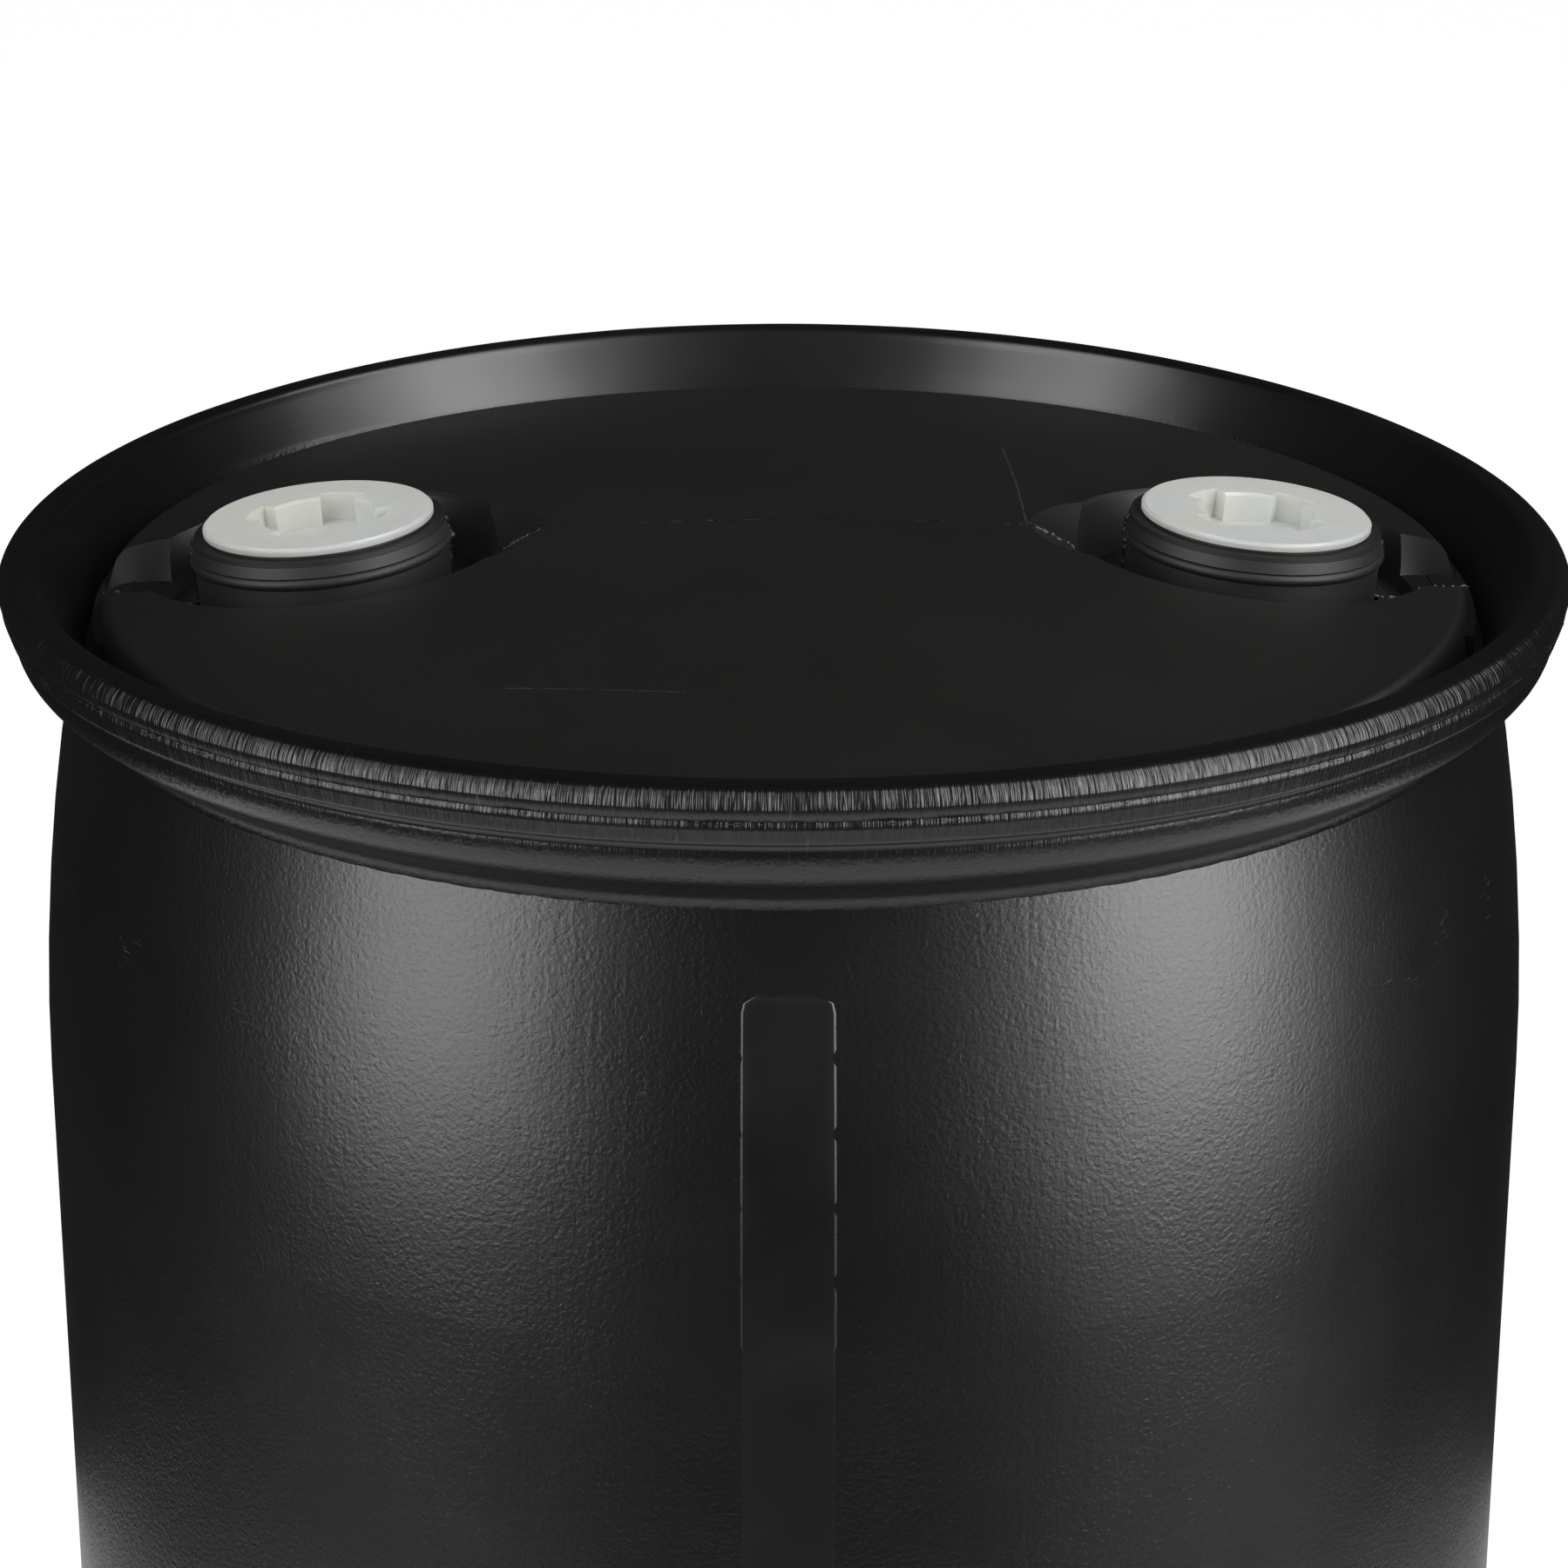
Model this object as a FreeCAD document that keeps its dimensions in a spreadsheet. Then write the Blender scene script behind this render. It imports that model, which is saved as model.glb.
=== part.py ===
import FreeCAD
import Part
import os
import Sketcher

# A closed-head plastic drum: a hollow moulded shell with two threaded necks, a handling
# ring fused to its top corner and one to its bottom corner, and two screw plugs with
# their gaskets. Millimetres, +Z up, origin at the centre of the face it stands on.

DOC = FreeCAD.newDocument("closed_head_drum")
SHEET_NAME = "Dims"
SHEET = DOC.addObject("Spreadsheet::Sheet", SHEET_NAME)

DIMENSIONS = {
    # whole drum
    "drum_height": 737.0,
    "body_radius": 232.0,
    "wall": 3.2,
    "shoulder_length": 165.0,
    "waist_radius": 219.6,
    "waist_depth": 37.5,
    # head and bottom, as depths from the plane of the ring next to them
    "dome_radius": 205.0,
    "dome_edge_depth": 13.0,
    "dome_centre_depth": -2.0,
    "bottom_centre_depth": 22.0,
    "edge_round": 4.0,
    "edge_foot_radius": 210.0,
    "edge_foot_depth": 27.0,
    "moat_radius": 211.5,
    "moat_depth": 29.0,
    "corner_radius": 214.5,
    # handling ring
    "ring_radius": 240.0,
    "bead_depth": 5.4,
    "groove_depth": 9.3,
    "groove_radius": 238.6,
    "band_radius": 239.1,
    "band_depth": 10.4,
    "band_low_radius": 237.5,
    "band_low_depth": 15.4,
    "under_radius": 236.0,
    "under_depth": 17.0,
    "crest_outer": 235.2,
    "crest_inner": 230.2,
    "lip_radius": 228.0,
    "lip_depth": 2.4,
    "lip_curve": 3.2,
    "crest_curve": 7.6,
    "bead_curve": 9.0,
    "band_curve": 2.6,
    "under_curve": 13.8,
    "belly_radius": 229.8,
    "belly_depth": 29.5,
    "belly_curve": 74.0,
    # necks, in a frame with its origin on the rim's centre and +Z out of the drum
    "bung_offset": 144.2,
    "bung_shift": 1.2,
    "neck_tilt": 4.6,
    "rim_rise": 1.1,
    "rim_radius": 38.6,
    "rim_step": 1.4,
    "neck_top_radius": 39.0,
    "neck_cone_radius": 39.9,
    "neck_cone_bottom": 4.7,
    "neck_wall_radius": 39.2,
    "neck_bead_top": 5.0,
    "neck_bead_bottom": 8.6,
    "neck_bead_curve": 1.9,
    "bore_radius": 29.6,
    "neck_length": 27.0,
    "bore_lip": 1.2,
    "bore_cut_radius": 38.4,
    # pocket that each neck stands in
    "pocket_floor": 22.2,
    "pocket_floor_radius": 49.0,
    "pocket_wall_radius": 57.0,
    "pocket_wall_height": 14.4,
    "pocket_wall_curve": 26.0,
    "pocket_mouth_radius": 62.0,
    "pocket_mouth_height": 19.0,
    "pocket_top": 30.0,
    # bowl on an upright axis that opens each pocket towards the moat
    "outlet_offset": 196.0,
    "outlet_depth": 21.4,
    "outlet_floor_radius": 14.0,
    "outlet_mouth_radius": 30.0,
    "outlet_mouth_depth": 9.0,
    # bowl on an upright axis that draws each pocket out to a tip towards the centre
    "valley_offset": 110.0,
    "valley_depth": 17.0,
    "valley_floor_radius": 5.0,
    "valley_mouth_radius": 37.0,
    "valley_mouth_depth": -1.0,
    # ledge across the moat beside each neck
    "ledge_depth": 21.0,
    "ledge_outer_radius": 212.2,
    "ledge_angle": 26.0,
    # thread, the same pitch inside the neck and on the plug
    "thread_pitch": 5.08,
    "thread_depth": 2.2,
    "thread_root": 2.6,
    "thread_crest": 1.2,
    "thread_bury": 0.3,
    "neck_thread_start": 3.4,
    "neck_thread_length": 17.8,
    # plug, in the neck's frame
    "plug_radius": 35.5,
    "flange_thickness": 2.4,
    "flange_round": 0.9,
    "shank_radius": 27.0,
    "shank_length": 22.0,
    "plug_thread_length": 12.7,
    "socket_radius": 17.2,
    "socket_notch_radius": 22.2,
    "socket_notch_angle": 39.0,
    "socket_notch_overlap": 1.0,
    "socket_depth": 9.0,
    "socket_floor": 3.0,
    "cup_radius": 23.6,
    "left_plug_turn": 73.0,
    "right_plug_turn": 47.0,
    "socket_mouth_chamfer": 0.8,
    # gasket
    "gasket_thickness": 1.0,
    "gasket_inner": 29.9,
    "gasket_outer": 34.6,
}
NOTCHES = 4
FULL_TURN = 360.0
HALF_TURN = 180.0
HALF_PITCH = 0.5
# coordinates below this are pinned to the sketch's axis instead of by a distance
ON_AXIS = 1e-9
# an arc's radius is kept this much over its exact value, so that its ends always meet
ARC_SLACK = 1.001
# share of the wall that a slanted corner of the inner form moves by
CORNER_SHARE = 1.2
MOAT_SHARE = 0.6
FLOOR_SHARE = 0.5
SIDES = {"left": -1.0, "right": 1.0}


def fill_sheet():
    """Write every driving dimension as text and give its cell an alias."""
    for row, (word, value) in enumerate(DIMENSIONS.items(), start=1):
        SHEET.set(f"A{row}", word)
        SHEET.set(f"B{row}", str(value))
        SHEET.setAlias(f"B{row}", word)
    DOC.recompute()


class Size:
    """A number read from the sheet together with the expression that gives it."""

    def __init__(self, value, text):
        self.value = float(value)
        self.text = text

    def __add__(self, other):
        other = size(other)
        return Size(self.value + other.value, f"({self.text} + {other.text})")

    def __sub__(self, other):
        other = size(other)
        return Size(self.value - other.value, f"({self.text} - {other.text})")

    def __mul__(self, other):
        other = size(other)
        return Size(self.value * other.value, f"({self.text} * {other.text})")

    def __truediv__(self, other):
        other = size(other)
        return Size(self.value / other.value, f"({self.text} / {other.text})")

    def __neg__(self):
        return Size(-self.value, f"(-1 * {self.text})")


def size(item):
    """Turn a sheet word or a plain number into a Size."""
    if isinstance(item, Size):
        return item
    if isinstance(item, str):
        return Size(SHEET.get(item), f"{SHEET_NAME}.{item}")
    return Size(item, str(item))


def vector(x, y):
    """A sketch point at two Sizes."""
    return FreeCAD.Vector(x.value, y.value, 0)


def arc_through(start, end, radius, bulge):
    """The shorter arc from start to end, bulging to the left (+1) or right (-1)."""
    chord = end - start
    middle = (start + end) * 0.5
    half = chord.Length / 2
    left = FreeCAD.Vector(-chord.y, chord.x, 0).normalize()
    sagitta = radius - (radius ** 2 - half ** 2) ** 0.5
    return Part.Arc(start, middle + left * (bulge * sagitta), end)


def pin_vertex(sketch, edge, vertex, x, y):
    """Fix one vertex of a sketch edge at sheet-driven coordinates."""
    origin = (-1, 1)
    for kind, coordinate in (("DistanceX", x), ("DistanceY", y)):
        if abs(coordinate.value) < ON_AXIS:
            axis = -2 if kind == "DistanceX" else -1
            sketch.addConstraint(Sketcher.Constraint("PointOnObject", edge, vertex, axis))
            continue
        constraint = Sketcher.Constraint(kind, *origin, edge, vertex, coordinate.value)
        index = sketch.addConstraint(constraint)
        sketch.setExpression(f"Constraints[{index}]", coordinate.text)


def profile(body, name, points, plane="XZ_Plane"):
    """Draw a closed outline on one of the body's own origin planes.

    Each point is (x, y) or (x, y, radius, bulge), where radius and bulge bend the edge
    that leaves the point. Coordinates are sheet words, Sizes or plain numbers.
    """
    sketch = body.newObject("Sketcher::SketchObject", name)
    support = [item for item in body.Origin.OriginFeatures if item.Role == plane][0]
    sketch.AttachmentSupport = [(support, "")]
    sketch.MapMode = "FlatFace"
    corners = [(size(point[0]), size(point[1])) for point in points]
    for index, point in enumerate(points):
        start = vector(*corners[index])
        end = vector(*corners[(index + 1) % len(points)])
        if len(point) == 2:
            sketch.addGeometry(Part.LineSegment(start, end), False)
        else:
            arc = arc_through(start, end, size(point[2]).value, point[3])
            sketch.addGeometry(arc, False)
    start_of = {}
    end_of = {}
    for index, point in enumerate(points):
        # an arc is stored anticlockwise, so one that bulges left runs from end to start
        flipped = len(point) == 4 and point[3] > 0
        start_of[index] = 2 if flipped else 1
        end_of[index] = 1 if flipped else 2
    for index in range(len(points)):
        after = (index + 1) % len(points)
        sketch.addConstraint(
            Sketcher.Constraint("Coincident", index, end_of[index], after, start_of[after])
        )
    for index, point in enumerate(points):
        pin_vertex(sketch, index, start_of[index], *corners[index])
        if len(point) == 4:
            radius = size(point[2])
            constraint = Sketcher.Constraint("Radius", index, radius.value)
            number = sketch.addConstraint(constraint)
            sketch.setExpression(f"Constraints[{number}]", radius.text)
    DOC.recompute()
    return sketch


def new_body(name):
    """An empty body in the document."""
    body = DOC.addObject("PartDesign::Body", name)
    DOC.recompute()
    return body


def revolve(body, sketch, kind="Revolution", angle=None):
    """Turn a sketch about the vertical axis, adding material or (Groove) removing it."""
    before = body.Shape.Volume if body.Tip else 0.0
    feature = body.newObject(f"PartDesign::{kind}", f"{sketch.Name}_{kind.lower()}")
    feature.Profile = sketch
    feature.ReferenceAxis = (sketch, ["V_Axis"])
    if angle is None:
        feature.Angle = FULL_TURN
    else:
        feature.setExpression("Angle", size(angle).text)
        feature.Midplane = True
    sketch.Visibility = False
    DOC.recompute()
    grew = body.Shape.Volume > before
    if grew != (kind == "Revolution"):
        raise RuntimeError(f"{feature.Name} changed {body.Name} the wrong way")
    return feature


def wind_thread(body, name, root, crest, start, length):
    """Wind a tapered ridge around the body's axis, from radius root to radius crest."""
    root_half = size("thread_root") / 2
    crest_half = size("thread_crest") / 2
    sketch = profile(body, name, [
        (root, -root_half + start),
        (crest, -crest_half + start),
        (crest, crest_half + start),
        (root, root_half + start),
    ])
    before = body.Shape.Volume
    helix = body.newObject("PartDesign::AdditiveHelix", f"{name}_helix")
    helix.Profile = sketch
    helix.ReferenceAxis = (sketch, ["V_Axis"])
    helix.Mode = 0
    helix.setExpression("Pitch", size("thread_pitch").text)
    helix.setExpression("Height", size(length).text)
    DOC.recompute()
    if body.Shape.Volume <= before:
        raise RuntimeError(f"{name} added no thread")
    return helix


def place(item, height, side=0.0, turn=None):
    """Put a body on the drum's axis or, with a side, on that side's tilted neck axis."""
    item.setExpression("Placement.Base.z", size(height).text)
    if not side:
        return
    item.setExpression("Placement.Base.x", (size("bung_offset") * side + "bung_shift").text)
    tilt = FreeCAD.Rotation(FreeCAD.Vector(0, 1, 0), SHEET.get("neck_tilt") * side)
    if turn is not None:
        tilt = tilt.multiply(FreeCAD.Rotation(FreeCAD.Vector(0, 0, 1), SHEET.get(turn)))
    item.Placement.Rotation = tilt


def dome_sphere(edge_radius, rise):
    """Radius of the sphere through a dome's edge, given how far its centre rises."""
    return (edge_radius * edge_radius + rise * rise) / (rise * 2)


def form_outline(inset):
    """Outline of the closed drum form; inset moves every surface inwards by the wall."""
    height = size("drum_height")
    shoulder = size("shoulder_length")
    body = size("body_radius") - inset
    waist = size("waist_radius") - inset
    waist_depth = size("waist_depth")
    drop = shoulder - waist_depth
    flare = dome_sphere(drop, size("body_radius") - "waist_radius")
    corner = (size("corner_radius") - inset * CORNER_SHARE, size("moat_depth") + inset)
    foot = (size("edge_foot_radius") - inset, size("edge_foot_depth") + inset)
    moat = (size("moat_radius") - inset * MOAT_SHARE, size("moat_depth") + inset)
    edge = (size("dome_radius") - inset, size("dome_edge_depth") + inset)
    rounded = (size("dome_radius") + "edge_round" - inset, edge[1] + "edge_round")
    top_centre = size("dome_centre_depth") + inset
    low_centre = size("bottom_centre_depth") + inset
    dome = dome_sphere(edge[0], edge[1] - top_centre)
    dish = dome_sphere(edge[0], low_centre - edge[1])
    round_radius = size("edge_round") * ARC_SLACK
    return [
        (0, low_centre, dish, 1),
        (edge[0], edge[1], round_radius, -1),
        rounded,
        foot,
        moat,
        corner,
        (waist, waist_depth, flare, -1),
        (body, shoulder),
        (body, height - shoulder, flare, -1),
        (waist, height - waist_depth),
        (corner[0], height - corner[1]),
        (moat[0], height - moat[1]),
        (foot[0], height - foot[1]),
        (rounded[0], height - rounded[1], round_radius, -1),
        (edge[0], height - edge[1], dome, -1),
        (0, height - top_centre),
    ]


def drum_form(name, inset):
    """The closed drum form as a solid, without pockets or necks."""
    body = new_body(name)
    revolve(body, profile(body, f"{name}_outline", form_outline(size(inset))))
    return body


def pocket_form(side_name, inset):
    """The bowl-shaped space around one neck; inset grows it by the wall."""
    grow = size(inset)
    name = f"pocket_{side_name}_{'skin' if grow.value else 'cut'}"
    body = new_body(name)
    floor = -size("pocket_floor") - grow
    revolve(body, profile(body, f"{name}_outline", [
        (0, floor),
        (size("pocket_floor_radius") + grow * FLOOR_SHARE, floor),
        (size("pocket_wall_radius") + grow, floor + "pocket_wall_height",
         "pocket_wall_curve", -1),
        (size("pocket_mouth_radius") + grow, floor + "pocket_mouth_height"),
        (size("pocket_mouth_radius") + grow, "pocket_top"),
        (0, "pocket_top"),
    ]))
    place(body, size("drum_height") + "rim_rise", SIDES[side_name])
    return body


def bowl_form(kind, side_name, inset):
    """An outlet or a valley of a pocket on its own upright axis; inset grows it."""
    grow = size(inset)
    name = f"{kind}_{side_name}_{'skin' if grow.value else 'cut'}"
    body = new_body(name)
    floor = -size(f"{kind}_depth") - grow
    mouth = size(f"{kind}_mouth_radius") + grow
    revolve(body, profile(body, f"{name}_outline", [
        (0, floor),
        (size(f"{kind}_floor_radius") + grow, floor),
        (mouth, -size(f"{kind}_mouth_depth") - grow),
        (mouth, "pocket_top"),
        (0, "pocket_top"),
    ]))
    place(body, "drum_height")
    offset = size(f"{kind}_offset") * SIDES[side_name] + "bung_shift"
    body.setExpression("Placement.Base.x", offset.text)
    return body


def head_recess(side_name, inset):
    """The forms that together make the space round one neck."""
    bowls = [bowl_form(kind, side_name, inset) for kind in ("outlet", "valley")]
    return [pocket_form(side_name, inset)] + bowls


def neck(side_name):
    """A neck with its stepped rim, its bead and its internal thread."""
    body = new_body(f"neck_{side_name}")
    revolve(body, profile(body, f"neck_{side_name}_outline", [
        (size("bore_radius") + "bore_lip", 0),
        ("rim_radius", 0),
        ("rim_radius", -size("rim_step")),
        ("neck_top_radius", -size("rim_step")),
        ("neck_cone_radius", -size("neck_cone_bottom")),
        ("neck_wall_radius", -size("neck_bead_top"), "neck_bead_curve", 1),
        ("neck_wall_radius", -size("neck_bead_bottom")),
        ("neck_wall_radius", -size("neck_length")),
        ("bore_radius", -size("neck_length")),
        ("bore_radius", -size("bore_lip")),
    ]))
    bore = size("bore_radius")
    wind_thread(
        body, f"neck_{side_name}_thread", bore + "thread_bury", bore - "thread_depth",
        -size("neck_thread_start") - "neck_thread_length", "neck_thread_length",
    )
    place(body, size("drum_height") + "rim_rise", SIDES[side_name])
    return body


def bore_cutter(side_name):
    """The cylinder that opens the head under a neck."""
    cutter = DOC.addObject("Part::Cylinder", f"bore_cut_{side_name}")
    cutter.setExpression("Radius", size("bore_cut_radius").text)
    cutter.setExpression("Height", size("pocket_top").text)
    place(cutter, size("drum_height") + "rim_rise" - "pocket_top", SIDES[side_name])
    return cutter


def ledge(side_name):
    """The raised web that bridges the moat beside a neck."""
    body = new_body(f"ledge_{side_name}")
    low = size("moat_depth") + size("wall") / 2
    sketch = profile(body, f"ledge_{side_name}_outline", [
        (size("dome_radius") - "wall", -low),
        ("ledge_outer_radius", -low),
        ("ledge_outer_radius", -size("ledge_depth")),
        (size("dome_radius") - "wall", -size("ledge_depth")),
    ])
    revolve(body, sketch, angle="ledge_angle")
    place(body, "drum_height")
    if SIDES[side_name] < 0:
        body.Placement.Rotation = FreeCAD.Rotation(FreeCAD.Vector(0, 0, 1), HALF_TURN)
    return body


def cut(name, base, tools):
    """One base shape less several tools."""
    joined = DOC.addObject("Part::MultiFuse", f"{name}_tools")
    joined.Shapes = tools
    result = DOC.addObject("Part::Cut", name)
    result.Base = base
    result.Tool = joined
    DOC.recompute()
    return result


def fuse(name, base, additions):
    """One base shape with several additions joined to it one after another."""
    result = base
    for addition in additions:
        joined = DOC.addObject("Part::Fuse", f"{name}_with_{addition.Name}")
        joined.Base = result
        joined.Tool = addition
        result = joined
    DOC.recompute()
    result.Label = name
    return result


def drum_shell():
    """The hollow moulding: outer form less inner void, with pockets, necks and ledges."""
    outer = drum_form("outer_form", 0)
    void = drum_form("inner_form", "wall")
    pockets = [form for side in SIDES for form in head_recess(side, 0)]
    skins = [form for side in SIDES for form in head_recess(side, "wall")]
    carved = cut("carved_form", outer, pockets)
    space = cut("inner_space", void, skins)
    hollow = cut("hollow_form", carved, [space] + [bore_cutter(side) for side in SIDES])
    additions = [neck(side) for side in SIDES] + [ledge(side) for side in SIDES]
    return fuse("drum_shell", hollow, additions)


def handling_ring(name):
    """The flared ring with a rounded bead, a groove, a second band and a rounded belly."""
    body = new_body(name)
    corner_depth = size("moat_depth")
    revolve(body, profile(body, f"{name}_outline", [
        ("corner_radius", -corner_depth),
        ("lip_radius", -size("lip_depth"), "lip_curve", 1),
        ("crest_inner", 0),
        ("crest_outer", 0, "crest_curve", 1),
        ("ring_radius", -size("bead_depth"), "bead_curve", 1),
        ("groove_radius", -size("groove_depth")),
        ("band_radius", -size("band_depth")),
        ("band_low_radius", -size("band_low_depth"), "band_curve", 1),
        ("under_radius", -size("under_depth"), "under_curve", 1),
        ("belly_radius", -size("belly_depth"), "belly_curve", -1),
        ("waist_radius", -size("waist_depth")),
    ]))
    return body


def upper_handling_ring():
    """The ring round the drum's top corner."""
    body = handling_ring("upper_handling_ring")
    place(body, "drum_height")
    return body


def base_ring():
    """The same ring turned over, round the drum's bottom corner."""
    body = handling_ring("base_ring")
    body.Placement.Rotation = FreeCAD.Rotation(FreeCAD.Vector(1, 0, 0), HALF_TURN)
    return body


def socket_cut(body, name):
    """The four-lobed wrench socket: a round hole with a notch cut at every quarter."""
    top = size("gasket_thickness") + "flange_thickness"
    floor = top - "socket_depth"
    revolve(body, profile(body, f"{name}_socket", [
        (0, floor),
        ("socket_radius", floor),
        ("socket_radius", top - "socket_mouth_chamfer"),
        (size("socket_radius") + "socket_mouth_chamfer", top),
        (0, top),
    ]), "Groove")
    notch = revolve(body, profile(body, f"{name}_notch", [
        (size("socket_radius") - "socket_notch_overlap", floor),
        ("socket_notch_radius", floor),
        ("socket_notch_radius", top),
        (size("socket_radius") - "socket_notch_overlap", top),
    ]), "Groove", angle="socket_notch_angle")
    before = body.Shape.Volume
    pattern = body.newObject("PartDesign::PolarPattern", f"{name}_notches")
    pattern.Originals = [notch]
    axis = [item for item in body.Origin.OriginFeatures if item.Role == "Z_Axis"][0]
    pattern.Axis = (axis, [""])
    pattern.Angle = FULL_TURN
    pattern.Occurrences = NOTCHES
    body.Tip = pattern
    DOC.recompute()
    if body.Shape.Volume >= before:
        raise RuntimeError(f"{name} notches were not repeated")


def plug(side_name):
    """A screw plug: flange, threaded cup-shaped shank and wrench socket."""
    name = f"plug_{side_name}"
    body = new_body(name)
    seat = size("gasket_thickness")
    top = seat + "flange_thickness"
    rounding = size("flange_round")
    web = top - "socket_depth" - "socket_floor"
    bottom = seat - "shank_length"
    revolve(body, profile(body, f"{name}_outline", [
        (0, web),
        ("cup_radius", web),
        ("cup_radius", bottom),
        ("shank_radius", bottom),
        ("shank_radius", seat),
        ("plug_radius", seat),
        ("plug_radius", top - rounding, rounding * ARC_SLACK, 1),
        (size("plug_radius") - rounding, top),
        (0, top),
    ]))
    shank = size("shank_radius")
    # the ridge lies midway between the neck's ridges, however far the plug is turned
    turned = size(f"{side_name}_plug_turn") / FULL_TURN
    mesh = size("thread_pitch") * (turned + HALF_PITCH)
    start = mesh - "neck_thread_start" - "neck_thread_length"
    wind_thread(body, f"{name}_thread", shank - "thread_bury", shank + "thread_depth",
                start, "plug_thread_length")
    socket_cut(body, name)
    place(body, size("drum_height") + "rim_rise", SIDES[side_name], f"{side_name}_plug_turn")
    return body


def gasket(side_name):
    """The flat rubber ring squeezed between a plug's flange and the neck's rim."""
    body = new_body(f"gasket_{side_name}")
    revolve(body, profile(body, f"gasket_{side_name}_outline", [
        ("gasket_inner", 0),
        ("gasket_outer", 0),
        ("gasket_outer", "gasket_thickness"),
        ("gasket_inner", "gasket_thickness"),
    ]))
    place(body, size("drum_height") + "rim_rise", SIDES[side_name])
    return body


def check_document():
    """Stop if any object failed to compute."""
    for item in DOC.Objects:
        if "Invalid" in item.State or "Error" in item.State:
            raise RuntimeError(f"{item.Name}: {item.State}")


def export(pieces):
    """Write each piece to its own file and stop if one is not a valid shape."""
    os.makedirs("parts", exist_ok=True)
    for piece in pieces:
        shape = piece.Shape
        if shape.isNull() or not shape.isValid():
            raise RuntimeError(f"{piece.Label} has no valid shape")
        solids = len(shape.Solids)
        box = shape.BoundBox
        print(f"{piece.Label}: {solids} solid, {shape.Volume / 1000:.1f} cm3, "
              f"x {box.XMin:.1f}..{box.XMax:.1f} z {box.ZMin:.1f}..{box.ZMax:.1f}")
        shape.exportStep(f"parts/{piece.Label}.step")


fill_sheet()
PIECES = [drum_shell(), upper_handling_ring(), base_ring()]
PIECES += [gasket(side) for side in SIDES]
PIECES += [plug(side) for side in SIDES]
DOC.recompute()
check_document()
export(PIECES)
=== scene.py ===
"""Looks of a closed-head plastic drum with two screw plugs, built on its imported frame.

The shell, the plugs and the gaskets keep their frame solids and get their finishes here.
The two handling rings are replaced by finer revolved rings with moulding flash, and thin
flash fins and a smooth panel are added to the shell. Metres, +Z up.
"""

import logging
import math
from dataclasses import dataclass
from enum import Enum

import bpy
import numpy as np
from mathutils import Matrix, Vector


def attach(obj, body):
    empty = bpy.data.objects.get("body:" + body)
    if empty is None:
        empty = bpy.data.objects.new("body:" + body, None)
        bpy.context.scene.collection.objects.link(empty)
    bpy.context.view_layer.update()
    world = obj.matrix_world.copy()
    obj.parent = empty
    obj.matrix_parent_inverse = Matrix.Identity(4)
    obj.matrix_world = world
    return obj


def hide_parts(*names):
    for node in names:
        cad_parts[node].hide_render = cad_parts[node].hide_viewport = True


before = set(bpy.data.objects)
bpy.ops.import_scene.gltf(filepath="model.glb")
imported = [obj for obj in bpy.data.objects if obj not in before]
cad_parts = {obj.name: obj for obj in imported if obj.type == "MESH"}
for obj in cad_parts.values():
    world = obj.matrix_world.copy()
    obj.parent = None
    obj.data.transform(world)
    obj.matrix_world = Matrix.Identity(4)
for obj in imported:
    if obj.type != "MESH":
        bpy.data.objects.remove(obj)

LOG = logging.getLogger("drum")
MM = 0.001

Colour = tuple[float, float, float]
Point2 = tuple[float, float]
Point3 = tuple[float, float, float]


class Body(Enum):
    """The frame body that every added piece rides on."""

    DRUM = "drum"


class Side(Enum):
    """Which neck a piece belongs to; the value is the sign of its X."""

    LEFT = -1
    RIGHT = 1

    @property
    def word(self) -> str:
        """The side's name as the frame writes it."""
        return self.name.lower()


class Facing(Enum):
    """Which end of the drum a ring stands on; the value is the sign of its crest."""

    UP = 1
    DOWN = -1


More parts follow.
